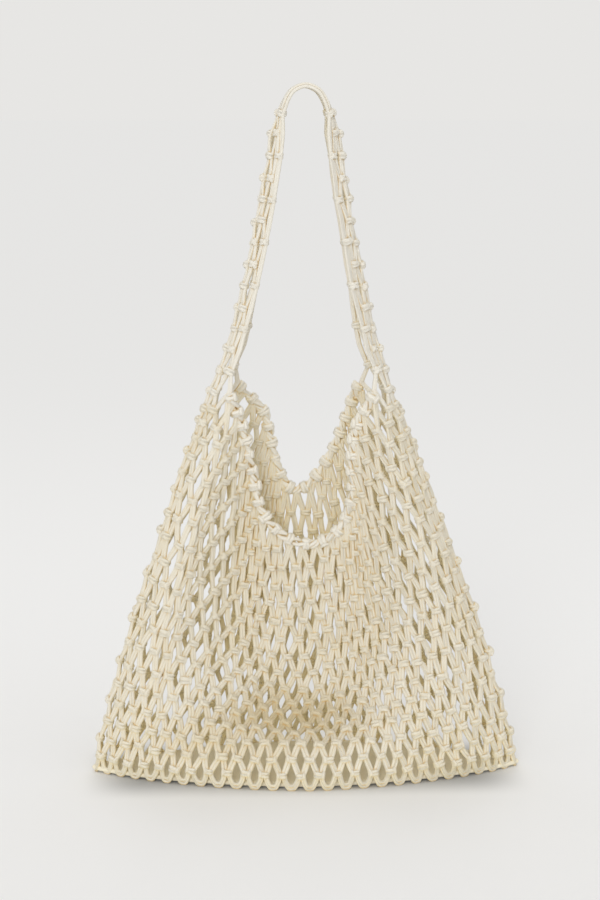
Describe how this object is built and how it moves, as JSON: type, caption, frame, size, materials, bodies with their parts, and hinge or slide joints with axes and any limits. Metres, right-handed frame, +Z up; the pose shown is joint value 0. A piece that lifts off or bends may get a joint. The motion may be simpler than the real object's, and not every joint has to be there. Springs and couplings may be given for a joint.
{
  "type": "knotted net shoulder bag",
  "caption": "Hobo shoulder bag of knotted cotton cord: an open net body with a slack front, rope-bound mouth, wide knotted strap and a flat oval base panel.",
  "frame": {"origin": "underside of the middle of the strap, where the bag hangs on a hook or a shoulder", "axes": "+Z up as the bag hangs, front of the bag towards -Y, +X to the right when seen from the front"},
  "size_m": [0.401, 0.1374, 0.6323],
  "materials": {
    "cotton_cord": "matt twisted cotton cord, undyed cream",
    "panel_cloth": "matt plain cotton cloth over a stiff panel, tan"
  },
  "bodies": {
    "root": {"base_panel": "panel_cloth", "net_front": "cotton_cord", "net_back": "cotton_cord", "rim_front": "cotton_cord", "rim_back": "cotton_cord", "strap": "cotton_cord"}
  },
  "joints": []
}
